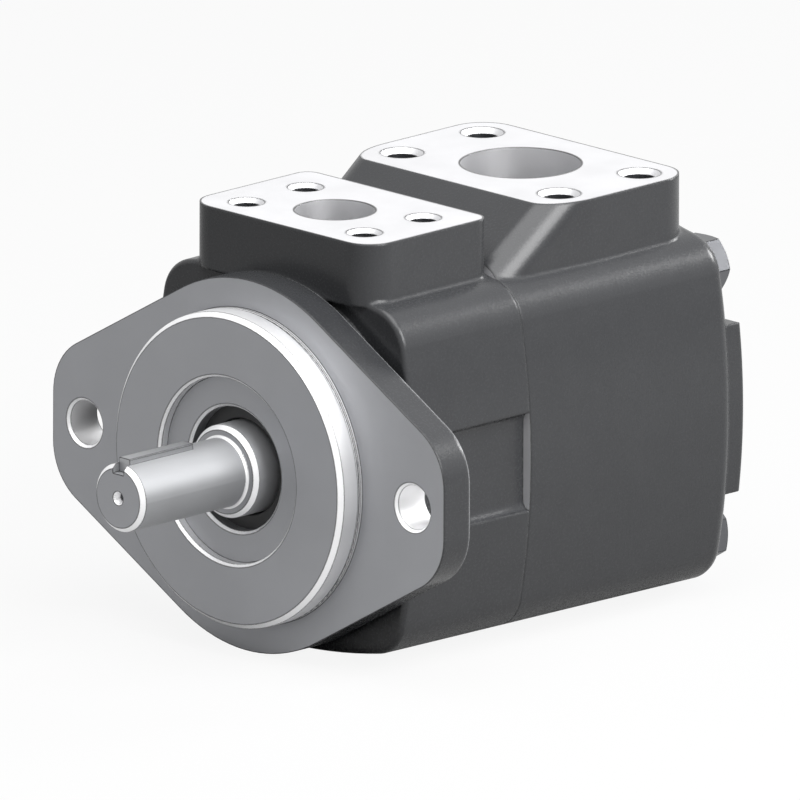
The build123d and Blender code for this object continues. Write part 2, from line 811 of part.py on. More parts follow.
save(front_port_plate.part, "front_port_plate")
save(
    round_ring(hub_radius - hub_ring_section / 2, hub_ring_section, hub_groove_y),
    "hub_oring",
)
save(
    round_ring(
        cavity_radius - plate_ring_section / 2,
        plate_ring_section,
        plate_groove_middle_y - backup_ring_width / 2,
    ),
    "plate_oring",
)
save(
    plain_ring(
        cartridge_radius - plate_ring_section + ring_clearance,
        cavity_radius - ring_clearance,
        plate_groove_middle_y + plate_groove_width / 2 - backup_ring_width,
        plate_groove_middle_y + plate_groove_width / 2,
    ),
    "plate_backup_ring",
)

# Cam ring with a two-lobed track
with BuildPart() as cam_ring:
    with BuildSketch(across(cam_rear_y)):
        Circle(cartridge_radius)
        with BuildLine():
            Spline(
                *[
                    (
                        cam_radius(angle) * math.cos(math.radians(angle)),
                        cam_radius(angle) * math.sin(math.radians(angle)),
                    )
                    for angle in range(0, 360, cam_point_step_deg)
                ],
                periodic=True,
            )
        make_face(mode=Mode.SUBTRACT)
        with PolarLocations(cartridge_screw_radius, 2, start_angle=90):
            Circle(cartridge_screw_diameter / 2 + seat_clearance, mode=Mode.SUBTRACT)
        with PolarLocations(cartridge_screw_radius, 2, start_angle=dowel_angle_deg):
            Circle(dowel_diameter / 2 + seat_clearance, mode=Mode.SUBTRACT)
    extrude(amount=cam_rear_y - cam_front_y)

save(cam_ring.part, "cam_ring")

# Rear port plate, against the shoulder of the suction chamber
with BuildPart() as rear_port_plate:
    with BuildSketch(Plane.XY):
        with BuildLine():
            Polyline(
                (rear_bush_outside / 2, cam_rear_y),
                (cartridge_radius, cam_rear_y),
                (cartridge_radius, rear_plate_y),
                (rear_hub_radius, rear_plate_y),
                (rear_hub_radius, rear_hub_end_y),
                (rear_bush_outside / 2, rear_hub_end_y),
                close=True,
            )
        make_face()
    revolve(axis=Axis.Y)
    with BuildSketch(across(rear_plate_y)):
        add(suction_windows)
        with PolarLocations(cartridge_screw_radius, 2, start_angle=90):
            Circle(cartridge_screw_diameter / 2 + seat_clearance)
        with PolarLocations(cartridge_screw_radius, 2, start_angle=dowel_angle_deg):
            Circle(dowel_diameter / 2 + seat_clearance)
    extrude(amount=rear_plate_y - cam_rear_y, mode=Mode.SUBTRACT)
    with BuildSketch(across(rear_plate_y)):
        with PolarLocations(cartridge_screw_radius, 2, start_angle=90):
            Circle(cartridge_screw_head_diameter / 2 + location_clearance)
    extrude(amount=cartridge_screw_head_height, mode=Mode.SUBTRACT)

save(rear_port_plate.part, "rear_port_plate")

# Bronze bush that carries the rear journal
save(
    plain_ring(
        rear_journal_diameter / 2 + running_clearance,
        rear_bush_outside / 2,
        cam_rear_y + bush_setback,
        rear_hub_end_y - bush_setback,
    ),
    "rear_bush",
)

# Rotor with radial vane slots
with BuildPart() as rotor:
    with BuildSketch(across(cam_rear_y - running_clearance)):
        Circle(rotor_radius)
        Circle(spline_root_diameter / 2 + spline_clearance, mode=Mode.SUBTRACT)
        with PolarLocations(shaft_spline_diameter / 4, spline_tooth_count):
            Rectangle(
                shaft_spline_diameter / 2 + 2 * spline_clearance,
                spline_tooth_width + 2 * spline_clearance,
                mode=Mode.SUBTRACT,
            )
        with PolarLocations(slot_root_radius + rotor_radius / 2, vane_count):
            Rectangle(rotor_radius, vane_thickness + 2 * running_clearance, mode=Mode.SUBTRACT)
        with PolarLocations(slot_root_radius, vane_count):
            Circle(slot_root_hole_radius, mode=Mode.SUBTRACT)
    extrude(amount=rotor_width)

save(rotor.part, "rotor")

# Vanes, drawn in to clear the narrow part of the track
with BuildPart() as vane_blank:
    with BuildSketch(across(cam_rear_y - running_clearance)):
        with BuildLine():
            Polyline(
                (vane_tip_at_rest - vane_height, -vane_thickness / 2),
                (vane_tip_at_rest - vane_tip_bevel, -vane_thickness / 2),
                (vane_tip_at_rest, vane_tip_bevel - vane_thickness / 2),
                (vane_tip_at_rest, vane_thickness / 2 - vane_tip_bevel),
                (vane_tip_at_rest - vane_tip_bevel, vane_thickness / 2),
                (vane_tip_at_rest - vane_height, vane_thickness / 2),
                close=True,
            )
        make_face()
    extrude(amount=rotor_width)

for vane_number in range(vane_count):
    turned_vane = vane_blank.part.rotate(Axis.Y, -vane_number * 360 / vane_count)
    save(turned_vane, f"vane_{vane_number + 1:02d}")

# Two socket-head screws that hold the cartridge together
with BuildPart() as cartridge_screws:
    with BuildSketch(across(rear_plate_y)):
        with PolarLocations(cartridge_screw_radius, 2, start_angle=90):
            Circle(cartridge_screw_head_diameter / 2)
            RegularPolygon(cartridge_screw_diameter / 2, 6, mode=Mode.SUBTRACT)
    extrude(amount=cartridge_screw_head_height / 2)
    with BuildSketch(across(rear_plate_y - cartridge_screw_head_height / 2)):
        with PolarLocations(cartridge_screw_radius, 2, start_angle=90):
            Circle(cartridge_screw_head_diameter / 2)
    extrude(amount=cartridge_screw_head_height / 2)
    with BuildSketch(across(rear_plate_y - cartridge_screw_head_height)):
        with PolarLocations(cartridge_screw_radius, 2, start_angle=90):
            Circle(cartridge_screw_diameter / 2)
    extrude(amount=rear_plate_y - cartridge_screw_head_height - cartridge_screw_tip_y)

save(cartridge_screws.part, "cartridge_screws")

# Two dowels that keep the cam ring and the plates in line
with BuildPart() as dowel_pins:
    with BuildSketch(across(rear_plate_y - dowel_setback)):
        with PolarLocations(cartridge_screw_radius, 2, start_angle=dowel_angle_deg):
            Circle(dowel_diameter / 2)
    extrude(amount=rear_plate_y - dowel_setback - cartridge_screw_tip_y)

save(dowel_pins.part, "dowel_pins")

# Ring in the joint between the two housings
save(
    round_ring(joint_ring_radius, joint_ring_section, seam_y - joint_ring_section / 2),
    "joint_oring",
)
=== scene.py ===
# %% [markdown]
# # A hydraulic vane pump, painted, machined and lit
#
# This lesson dresses a finished CAD model in Blender. The shapes come from CAD and
# are never moved. What is added here is what CAD leaves out: sand-cast iron under
# charcoal paint, bare machined faces, ground steel, threads in the port holes, and
# a soft studio round it all.
#
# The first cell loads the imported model. Every CAD piece arrives as its own object,
# in metres, and `frame["nodes"]` finds it by name.

# %% Load the model
import json
import math

import bpy
from mathutils import Matrix, Vector


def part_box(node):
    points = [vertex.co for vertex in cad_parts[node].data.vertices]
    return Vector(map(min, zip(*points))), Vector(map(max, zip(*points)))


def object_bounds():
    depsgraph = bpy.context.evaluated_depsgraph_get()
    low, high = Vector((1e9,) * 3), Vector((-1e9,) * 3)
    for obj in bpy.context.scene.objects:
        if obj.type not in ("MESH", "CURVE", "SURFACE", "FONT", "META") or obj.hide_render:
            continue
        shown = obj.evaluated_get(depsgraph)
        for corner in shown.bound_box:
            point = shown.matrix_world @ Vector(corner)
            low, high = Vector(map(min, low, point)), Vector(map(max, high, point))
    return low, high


MM = 0.001

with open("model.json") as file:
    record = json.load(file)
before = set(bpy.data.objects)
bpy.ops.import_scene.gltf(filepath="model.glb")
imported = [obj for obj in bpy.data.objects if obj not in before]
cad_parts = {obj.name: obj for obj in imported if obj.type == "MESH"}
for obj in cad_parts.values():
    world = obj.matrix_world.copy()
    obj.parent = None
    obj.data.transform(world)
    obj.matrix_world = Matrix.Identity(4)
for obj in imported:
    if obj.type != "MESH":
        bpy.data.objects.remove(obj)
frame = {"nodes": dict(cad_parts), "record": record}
nodes = frame["nodes"]
cad_low, cad_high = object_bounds()
cad_size_mm = [round(length / MM, 1) for length in cad_high - cad_low]
print("loaded", len(nodes), "pieces, overall size in mm", cad_size_mm)

# %% [markdown]
# ## The camera
#
# In the photograph, edges that are parallel on the pump stay parallel, so it was
# taken from so far away that nothing shrinks with distance. An orthographic camera
# gives just that. It looks from 45 degrees to the right of the shaft and from a
# little above. One millimetre on the pump is 3.178 pixels, and the centre of the
# flange face lies at pixel (248.5, 465.5) of the 800 by 800 picture. A longer and
# longer lens would come near the same view, but only this camera matches it.
#
# The Standard view transform shows each colour as it is written, with no film look
# laid over it.

# %% Place the camera
IMAGE_PIXELS = 800
PIXELS_PER_MM = 3.178
FLANGE_CENTRE_PIXEL = (248.5, 465.5)
CAMERA_AZIMUTH = math.radians(45)
CAMERA_ELEVATION = math.radians(14.83)
CAMERA_ROLL = math.radians(0.17)
CAMERA_DISTANCE = 1.5

toward_camera = Vector((
    math.sin(CAMERA_AZIMUTH) * math.cos(CAMERA_ELEVATION),
    -math.cos(CAMERA_AZIMUTH) * math.cos(CAMERA_ELEVATION),
    math.sin(CAMERA_ELEVATION),
))
camera_turn = toward_camera.to_track_quat("Z", "Y").to_matrix() @ Matrix.Rotation(CAMERA_ROLL, 3, "Z")
camera_right, camera_up = camera_turn.col[0], camera_turn.col[1]

half_image = IMAGE_PIXELS / 2
shift_right = (half_image - FLANGE_CENTRE_PIXEL[0]) / PIXELS_PER_MM * MM
shift_up = (FLANGE_CENTRE_PIXEL[1] - half_image) / PIXELS_PER_MM * MM
view_centre = camera_right * shift_right + camera_up * shift_up

camera_data = bpy.data.cameras.new("photo_camera")
camera_data.type = "ORTHO"
camera_data.ortho_scale = IMAGE_PIXELS / PIXELS_PER_MM * MM
camera_data.clip_end = 20
camera = bpy.data.objects.new("photo_camera", camera_data)
camera.rotation_euler = camera_turn.to_euler()
camera.location = view_centre + toward_camera * CAMERA_DISTANCE
bpy.context.scene.collection.objects.link(camera)
bpy.context.scene.camera = camera
bpy.context.scene.view_settings.view_transform = "Standard"
print("the picture is", round(camera_data.ortho_scale / MM, 1), "mm wide at the pump")

# %% [markdown]
# ## Two small tools for materials
#
# Colours are written as hex values, the way a paint chart gives them. Blender
# mixes light in linear values, so one function turns each hex value to linear.
# The other adds a shader node with its settings and links in one call, which keeps
# each material short enough to read as a recipe.

# %% Colour and node helpers
def linear(hex_colour):
    """A hex colour such as #8a8b8d as linear red, green, blue and alpha."""
    channels = [int(hex_colour[i:i + 2], 16) / 255 for i in (1, 3, 5)]
    values = [c / 12.92 if c <= 0.04045 else ((c + 0.055) / 1.055) ** 2.4 for c in channels]
    return (*values, 1.0)


def add_node(tree, kind, inputs=None, **settings):
    """Add a node, set its settings, and fill its inputs with values or links."""
    node = tree.nodes.new(kind)
    for name, value in settings.items():
        setattr(node, name, value)
    for name, value in (inputs or {}).items():
        if isinstance(value, bpy.types.NodeSocket):
            tree.links.new(value, node.inputs[name])
        else:
            node.inputs[name].default_value = value
    return node


def start_material(name):
    """A new material with its Principled shader, and the piece's own coordinates in millimetres."""
    material = bpy.data.materials.new(name)
    material.use_nodes = True
    tree = material.node_tree
    shader = tree.nodes["Principled BSDF"]
    place = add_node(tree, "ShaderNodeTexCoord")
    in_mm = add_node(tree, "ShaderNodeMapping", {"Vector": place.outputs["Object"], "Scale": (1 / MM,) * 3})
    return material, tree, shader, in_mm.outputs["Vector"]


print("charcoal #303133 is", [round(v, 3) for v in linear("#303133")[:3]], "in linear values")

# %% [markdown]
# ## A studio with a pale floor
#
# The photograph has a white background. A truly white floor would throw its light
# back up and flatten the dark sides. So the floor is a dark grey for the light that
# bounces, and a Light Path node shows it as pale paper in reflections, dark only
# where the pump shades it. For the camera most of that white glows by itself, which
# leaves a faint shadow.
#
# The world is made the same way: white to the camera and in reflections, and only a
# weak fill for everything else.

# %% World
WORLD_FILL = 0.2

world = bpy.data.worlds.new("studio_world")
bpy.context.scene.world = world
world.use_nodes = True
sky = world.node_tree
sky.nodes.clear()


def seen_directly(tree, path):
    """1 for rays that show the background: from the camera, off gloss or through glass."""
    gloss = add_node(tree, "ShaderNodeMath", operation="ADD",
                     inputs={0: path.outputs["Is Camera Ray"], 1: path.outputs["Is Glossy Ray"]})
    either = add_node(tree, "ShaderNodeMath", operation="ADD", use_clamp=True,
                      inputs={0: gloss.outputs[0], 1: path.outputs["Is Transmission Ray"]})
    return either.outputs[0]


sky_path = add_node(sky, "ShaderNodeLightPath")
fill = add_node(sky, "ShaderNodeBackground", {"Color": linear("#ffffff"), "Strength": WORLD_FILL})
white = add_node(sky, "ShaderNodeBackground", {"Color": linear("#ffffff"), "Strength": 1.0})
sky_mix = add_node(sky, "ShaderNodeMixShader",
                   {0: seen_directly(sky, sky_path), 1: fill.outputs[0], 2: white.outputs[0]})
add_node(sky, "ShaderNodeOutputWorld", {"Surface": sky_mix.outputs[0]})
print("world fill", WORLD_FILL)

# %% Floor
FLOOR_HALF = 4.0
FLOOR_BOUNCE = "#3c3c3c"
FLOOR_PAPER = "#bcbcbc"
FLOOR_SELF_LIT = 0.9

floor_mesh = bpy.data.meshes.new("studio_floor")
floor_corners = [(x * FLOOR_HALF, y * FLOOR_HALF, cad_low.z)
                 for x, y in ((-1, -1), (1, -1), (1, 1), (-1, 1))]
floor_mesh.from_pydata(floor_corners, [], [(0, 1, 2, 3)])
floor = bpy.data.objects.new("studio_floor", floor_mesh)
bpy.context.scene.collection.objects.link(floor)

floor_material = bpy.data.materials.new("floor_paper")
floor_material.use_nodes = True
floor_tree = floor_material.node_tree
floor_tree.nodes.clear()
bounce = add_node(floor_tree, "ShaderNodeBsdfDiffuse", {"Color": linear(FLOOR_BOUNCE)})
paper = add_node(floor_tree, "ShaderNodeBsdfDiffuse", {"Color": linear(FLOOR_PAPER)})
glow = add_node(floor_tree, "ShaderNodeEmission", {"Color": linear("#ffffff"), "Strength": 1.0})
floor_path = add_node(floor_tree, "ShaderNodeLightPath")
glow_share = add_node(floor_tree, "ShaderNodeMath", operation="MULTIPLY",
                      inputs={0: floor_path.outputs["Is Camera Ray"], 1: FLOOR_SELF_LIT})
lifted = add_node(floor_tree, "ShaderNodeMixShader",
                  {0: glow_share.outputs[0], 1: paper.outputs[0], 2: glow.outputs[0]})
floor_mix = add_node(floor_tree, "ShaderNodeMixShader",
                     {0: seen_directly(floor_tree, floor_path), 1: bounce.outputs[0], 2: lifted.outputs[0]})
add_node(floor_tree, "ShaderNodeOutputMaterial", {"Surface": floor_mix.outputs[0]})
floor_mesh.materials.append(floor_material)
print("floor at", round(cad_low.z / MM, 1), "mm")

# %% [markdown]
# ## Three softboxes
#
# The photograph has bright tops, softer right-hand sides and dark paint toward the
# front and below. The brightest line on the paint runs down the rounded ridge of the
# ramp, on the part that faces halfway between the camera and a lamp on the right. So
# one softbox stands there, and a very broad one hangs overhead, which lights the tops
# and draws no line. A third stands behind and lights the back. The thin light line
# along the rounded back edge of the flange, which the block shades from it, is mostly
# a painted highlight in a lighter enamel.
#
# A spot or a sun lamp would draw hard shadows, which the photograph doesn't have.

# %% Lamps
LAMP_DISTANCE = 1.4


def add_softbox(name, direction, width, watts):
    """A square lamp that shines from a direction onto the middle of the pump."""
    data = bpy.data.lights.new(name, "AREA")
    data.shape = "SQUARE"
    data.size = width
    data.energy = watts
    lamp = bpy.data.objects.new(name, data)
    aim = (cad_low + cad_high) / 2
    away = Vector(direction).normalized()
    lamp.location = aim + away * LAMP_DISTANCE
    lamp.rotation_euler = away.to_track_quat("Z", "Y").to_euler()
    bpy.context.scene.collection.objects.link(lamp)
    return lamp


add_softbox("overhead_softbox", direction=(0.20, -0.22, 0.95), width=1.4, watts=25)
add_softbox("right_softbox", direction=(0.82, 0.05, 0.54), width=0.75, watts=20)
add_softbox("back_softbox", direction=(0.30, 0.85, 0.45), width=0.4, watts=9)
print("three softboxes at", LAMP_DISTANCE, "m")

# %% [markdown]
# ## Charcoal paint on sand-cast iron
#
# The housings are grey iron poured in sand moulds, shot-blasted and sprayed with a
# satin charcoal enamel. Sand grains of about a quarter of a millimetre leave a
# fine orange-peel skin that the paint softens, so the grain is drawn at 0.9 mm,
# coarse enough to show. A slower swell of about 9 mm comes from the mould itself.
#
# A real casting has no sharp painted edge. The Bevel node turns the shading round
# every edge by 1.4 mm, inside corners too, with no change to the mesh.
# The back rim of the flange has a lighter enamel: a painted highlight along it.

# %% Painted cast iron
SAND_GRAIN_MM = 0.9
MOULD_SWELL_MM = 9.0
SAND_DEPTH_MM = 0.12
SWELL_DEPTH_MM = 0.4
PAINT_EDGE_MM = 1.4
PAINT_SHINE = 0.42
PAINT_SMOOTHEST, PAINT_ROUGHEST = 0.24, 0.30


def enamel(name, colour, light_colour):
    """Satin enamel over a sand-cast skin, between two close tones, with every edge softened."""
    material, tree, shader, in_mm = start_material(name)
    swell = add_node(tree, "ShaderNodeTexNoise",
                     {"Vector": in_mm, "Scale": 1 / MOULD_SWELL_MM, "Detail": 3.0})
    grain = add_node(tree, "ShaderNodeTexNoise",
                     {"Vector": in_mm, "Scale": 1 / SAND_GRAIN_MM, "Detail": 4.0})
    paint_mix = add_node(tree, "ShaderNodeMix", data_type="RGBA",
                         inputs={0: swell.outputs[0], 6: linear(colour), 7: linear(light_colour)})
    gloss = add_node(tree, "ShaderNodeMapRange",
                     {"Value": grain.outputs[0], "To Min": PAINT_SMOOTHEST, "To Max": PAINT_ROUGHEST})
    soft_edges = add_node(tree, "ShaderNodeBevel", {"Radius": PAINT_EDGE_MM * MM}, samples=6)
    swell_bump = add_node(tree, "ShaderNodeBump",
                          {"Height": swell.outputs[0], "Strength": 0.12, "Distance": SWELL_DEPTH_MM * MM,
                           "Normal": soft_edges.outputs[0]})
    grain_bump = add_node(tree, "ShaderNodeBump",
                          {"Height": grain.outputs[0], "Strength": 0.22, "Distance": SAND_DEPTH_MM * MM,
                           "Normal": swell_bump.outputs[0]})
    tree.links.new(paint_mix.outputs[2], shader.inputs["Base Color"])
    tree.links.new(gloss.outputs[0], shader.inputs["Roughness"])
    tree.links.new(grain_bump.outputs[0], shader.inputs["Normal"])
    shader.inputs["Specular IOR Level"].default_value = PAINT_SHINE
    return material


painted_iron = enamel("charcoal_enamel_on_cast_iron", "#303133", "#363739")
# A lighter enamel: a painted highlight along the flange's back rim.
rim_highlight_paint = enamel("rim_highlight_enamel", "#77787a", "#8b8c8e")
print(painted_iron.name, "and", rim_highlight_paint.name)

# %% [markdown]
# ## Machined faces
#
# The flange face, the pilot, the port faces and the holes are cut bare. Grey iron
# off a lathe is a dull mid grey: its graphite flakes break up the mirror, so it is
# a rough metal with fine rings round the axis it turned on. A feed of 0.2 mm per
# turn is too fine for this picture, so the rings are drawn 0.5 mm apart. An image of
# brushed metal would do it too, but it would repeat and stretch over the holes.
#
# One recipe makes the family. The axis of the rings, their pitch, the colour and
# the roughness are what differs, so the same function serves lathe work round the
# shaft, face milling on the port pads, and ground steel. In the port holes the rings
# are 1.5 mm apart and deep, like the crests of their threads.
#
# Fine rings also smear a reflection across themselves, which draws it out along a
# turned shaft. The tangent says which way the smear runs.
#
# Every cut edge is drawn as a fine dark line of painted shade. The Bevel node finds
# the edges: within half a millimetre of one it turns the normal away from the face's
# own, and where the two part company the colour is painted darker.

# %% A recipe for turned and milled metal
WAVE_REPEAT = math.tau / 20  # a wave texture of scale 1 repeats once in this length
EDGE_SHADE = 0.2
EDGE_TURNED, EDGE_FLAT = 0.98, 0.9995
BLOTCH_TONE = 0.90
POLISH_SPREAD = 0.04


def turned_metal(name, colour, roughness, ring_axis, pitch_mm, ring_depth_mm, ring_centre_mm=(0, 0, 0),
                 blotch_mm=14.0, edge_mm=0.55, smear=0.0):
    """Bare metal with fine rings round an axis, a slow change in its polish and fine dark edge lines of
    painted shade.
    """
    material, tree, shader, in_mm = start_material(name)
    shader.inputs["Metallic"].default_value = 1.0
    shifted = add_node(tree, "ShaderNodeVectorMath", {0: in_mm, 1: ring_centre_mm}, operation="SUBTRACT")
    if smear:
        along_shaft = add_node(tree, "ShaderNodeCombineXYZ", {"Y": 1.0})
        tree.links.new(along_shaft.outputs[0], shader.inputs["Tangent"])
        shader.inputs["Anisotropic"].default_value = smear
    rings = add_node(tree, "ShaderNodeTexWave",
                     {"Vector": shifted.outputs[0], "Scale": WAVE_REPEAT / pitch_mm,
                      "Distortion": 0.6, "Detail": 1.0, "Detail Scale": 0.4},
                     wave_type="RINGS", rings_direction=ring_axis)
    blotches = add_node(tree, "ShaderNodeTexNoise",
                        {"Vector": in_mm, "Scale": 1 / blotch_mm, "Detail": 4.0})
    darker = tuple(v * BLOTCH_TONE for v in linear(colour)[:3]) + (1.0,)
    colour_mix = add_node(tree, "ShaderNodeMix", data_type="RGBA",
                          inputs={0: blotches.outputs[0], 6: darker, 7: linear(colour)})
    polish = add_node(tree, "ShaderNodeMapRange",
                      {"Value": blotches.outputs[0],
                       "To Min": roughness - POLISH_SPREAD, "To Max": roughness + POLISH_SPREAD})
    edges = add_node(tree, "ShaderNodeBevel", {"Radius": edge_mm * MM}, samples=8)
    face = add_node(tree, "ShaderNodeNewGeometry")
    agreement = add_node(tree, "ShaderNodeVectorMath", operation="DOT_PRODUCT",
                         inputs={0: edges.outputs[0], 1: face.outputs["Normal"]})
    # Darker colour near every edge: a painted shade line.
    tone = add_node(tree, "ShaderNodeMapRange",
                    {"Value": agreement.outputs["Value"], "From Min": EDGE_TURNED, "From Max": EDGE_FLAT,
                     "To Min": EDGE_SHADE, "To Max": 1.0})
    toned = add_node(tree, "ShaderNodeVectorMath", operation="SCALE",
                     inputs={0: colour_mix.outputs[2], "Scale": tone.outputs[0]})
    bump = add_node(tree, "ShaderNodeBump",
                    {"Height": rings.outputs[1], "Strength": 0.25, "Distance": ring_depth_mm * MM,
                     "Normal": edges.outputs[0]})
    tree.links.new(toned.outputs[0], shader.inputs["Base Color"])
    tree.links.new(polish.outputs[0], shader.inputs["Roughness"])
    tree.links.new(bump.outputs[0], shader.inputs["Normal"])
    return material


MILLING_CENTRE_MM = (95, 80, 0)

turned_iron = turned_metal("turned_grey_iron", "#a0a1a4", 0.58, "Y", 0.5, 0.01)
# Near white: a painted highlight on chamfers, the pilot's rim and the flange holes.
highlight_iron = turned_metal("highlight_turned_grey_iron", "#f2f2f3", 0.50, "Y", 0.5, 0.006)
# Near white: the pad tops are painted lighter than the turned iron, painted light from the lamps above.
lit_milled_iron = turned_metal("lit_milled_grey_iron", "#e8e8ea", 0.45, "Z", 0.8, 0.01,
                           ring_centre_mm=MILLING_CENTRE_MM, edge_mm=1.3)
drilled_iron = turned_metal("bored_grey_iron", "#d4d4d6", 0.50, "Z", 0.5, 0.006)
# Dark: painted shade deep in the threads of the port holes.
shaded_thread_iron = turned_metal("shaded_thread_grey_iron", "#4c4d50", 0.45, "Z", 1.5, 0.2, edge_mm=0.1)
# A light colour on the bare joint face: painted light, which lifts it where it faces into the shaded side
# pocket.
lit_joint_iron = turned_metal("lit_joint_face_iron", "#e6e6e8", 0.62, "Y", 0.8, 0.01)
print("six machined irons")

# %% [markdown]
# ## The open part of the joint face
#
# The two housings meet on a bare face, and the pump is sprayed after it is bolted
# together. Behind the smaller port pad that face stands open above the rear housing,
# so the paint covers it there. It is one flat face of the mesh, so its height decides
# what is paint and what is metal: the ramp of the rear housing starts 60.4 mm above
# the shaft. Cutting the face in two would work as well, but it would change the mesh.

# %% Paint the open part
JOINT_OPEN_FROM_MM = 60.4


def paint_above(material, height_mm, colour):
    """Turn a bare metal into paint above a height on the pump."""
    tree = material.node_tree
    shader = tree.nodes["Principled BSDF"]
    place = add_node(tree, "ShaderNodeTexCoord")
    height = add_node(tree, "ShaderNodeSeparateXYZ", {0: place.outputs["Object"]})
    painted = add_node(tree, "ShaderNodeMath", operation="GREATER_THAN",
                       inputs={0: height.outputs["Z"], 1: height_mm * MM})
    bare = add_node(tree, "ShaderNodeMath", {0: 1.0, 1: painted.outputs[0]}, operation="SUBTRACT")
    metal_colour = shader.inputs["Base Color"].links[0].from_socket
    colour_mix = add_node(tree, "ShaderNodeMix", data_type="RGBA",
                          inputs={0: painted.outputs[0], 6: metal_colour, 7: linear(colour)})
    tree.links.new(colour_mix.outputs[2], shader.inputs["Base Color"])
    tree.links.new(bare.outputs[0], shader.inputs["Metallic"])


paint_above(lit_joint_iron, JOINT_OPEN_FROM_MM, "#333436")
print(lit_joint_iron.name, "is painted above", JOINT_OPEN_FROM_MM, "mm")

# %% [markdown]
# ## Where the drills went in
#
# Two mounting holes go through the flange, and each port has four threaded holes
# round its bore. They are bare metal in a painted casting. The part's record lists
# each pattern with its centre, its spacing and its radius, so the holes are looked up
# there, which stays right if a size changes. A list typed by hand wouldn't.

# %% Find the drilled holes
ALONG_SHAFT, UPRIGHT = 1, 2

record_mounts = {mount["name"]: mount for mount in frame["record"]["mounts"]}


def hole_places():
    """Centre, axis number, radius and thread of every drilled hole that the record lists."""
    holes = []
    for mount in record_mounts.values():
        centre = Vector(mount["pos_m"])
        size = mount["dims"]
        along = ALONG_SHAFT if abs(mount["axis"][1]) > 0.5 else UPRIGHT
        if mount["kind"] == "bore":
            holes.append((centre, along, size["r_mm"] * MM, False))
        if mount["kind"] == "bolt_pattern":
            half_x = size["spacing_x_mm"] / 2 * MM
            half_y = size.get("spacing_y_mm", 0) / 2 * MM
            for side in (-1, 1):
                for end in ((-1, 1) if half_y else (0,)):
                    place = centre + Vector((side * half_x, end * half_y, 0))
                    holes.append((place, along, size["hole_r_mm"] * MM, along == UPRIGHT))
    return holes


HOLES = hole_places()
print(len(HOLES), "drilled holes")

# %% [markdown]
# ## Which faces are painted and which are cut
#
# A housing is one casting, but it leaves the factory in two finishes. The mesh
# stays as CAD made it. Only the material number of each face is chosen, from where
# the face lies: the tool reached the flange face, the pilot, the port faces, and
# everything inside a bore or a hole. Whatever is left is paint.
#
# A painted mask image could draw the same border, but it would blur at the edges,
# and here every border between paint and metal is an edge of the casting.

# %% Paint or bare metal, face by face
TOUCH = 0.02 * MM
FLANGE_FRONT_REACH = 0.05 * MM
FLANGE_BACK = 13 * MM
PILOT_SIDE = 2.0 * MM
REAR_WALL = 15 * MM
HOLE_MOUTH = 2.2 * MM
FLAT = 0.95
BACK_RIM_FROM, BACK_RIM_TO = 0.25, 0.85

front_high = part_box("front_housing")[1]
seam_y = front_high.y
rear_face_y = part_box("rear_housing")[1].y
pilot_radius = record_mounts["mounting_pilot"]["dims"]["r_mm"] * MM

FINISHES = [painted_iron, turned_iron, highlight_iron, lit_milled_iron, drilled_iron, shaded_thread_iron, lit_joint_iron,
            rim_highlight_paint]
PAINTED, TURNED, BRIGHT, MILLED, DRILLED, TAPPED, JOINT, RIM_HIGHLIGHT = range(len(FINISHES))


def hole_finish(point, normal):
    """The finish on the wall or the mouth of a drilled hole, or None away from any hole."""
    for centre, along, radius, threaded in HOLES:
        off = point - centre
        off[along] = 0
        on_wall = off.length < radius + TOUCH
        # Thread walls take the dark iron: painted shade in the threads.
        if on_wall and threaded:
            return TAPPED
        # Walls of the flange holes take the near-white iron, a painted highlight.
        if on_wall or off.length < radius + HOLE_MOUTH and abs(normal[along]) < FLAT:
            return BRIGHT if along == ALONG_SHAFT else DRILLED
    return None


def finish_of(point, normal):
    """The finish that a face of a housing leaves the factory with."""
    from_shaft = math.hypot(point.x, point.z)
    # The joint face takes the light joint iron, painted light in the shaded pocket.
    if abs(point.y - seam_y) < TOUCH:
        return JOINT
    # Pad tops take the near-white milled iron, painted light from above.
    if point.z > front_high.z - TOUCH and normal.z > FLAT:
        return MILLED
    in_hole = hole_finish(point, normal)
    if in_hole is not None:
        return in_hole
    # Oblique faces by the flange face, such as the pilot's rim, take the near-white iron, a painted
    # highlight.
    if point.y < FLANGE_FRONT_REACH:
        return TURNED if abs(normal.y) > FLAT else BRIGHT
    if from_shaft < pilot_radius - PILOT_SIDE and point.y < rear_face_y - REAR_WALL:
        return TURNED
    # The flange's back rim takes the lighter enamel, a painted highlight.
    if point.y < FLANGE_BACK and BACK_RIM_FROM < normal.y < BACK_RIM_TO:
        return RIM_HIGHLIGHT
    return PAINTED


def dress_casting(name):
    """Give a housing its finishes, face by face."""
    housing = nodes[name]
    housing.data.materials.clear()
    for material in FINISHES:
        housing.data.materials.append(material)
    counts = [0] * len(FINISHES)
    for face in housing.data.polygons:
        face.material_index = finish_of(face.center, face.normal)
        counts[face.material_index] += 1
    print(name, "faces: paint, turned, bright, milled, drilled, tapped, joint, rim_highlight", counts)


dress_casting("front_housing")
dress_casting("rear_housing")

# %% [markdown]
# ## Steel, brass and bronze
#
# The shaft is ground after turning, so its rings are faint, while its end keeps the
# duller face that the lathe left. The key is cold-drawn bar. The bolts are
# phosphated and oiled, which gives a dark, slightly cloudy grey.
#
# The cartridge inside is never seen from here, but it comes apart on a bench, so it
# is finished as well: lapped tool steel, ground iron plates, brass and bronze. All
# of them are the same recipe with another colour, roughness and ring, because all
# were turned or ground.

# %% Metals
ground_steel = turned_metal("ground_shaft_steel", "#a6a7a9", 0.60, "Y", 0.6, 0.004, smear=0.4)
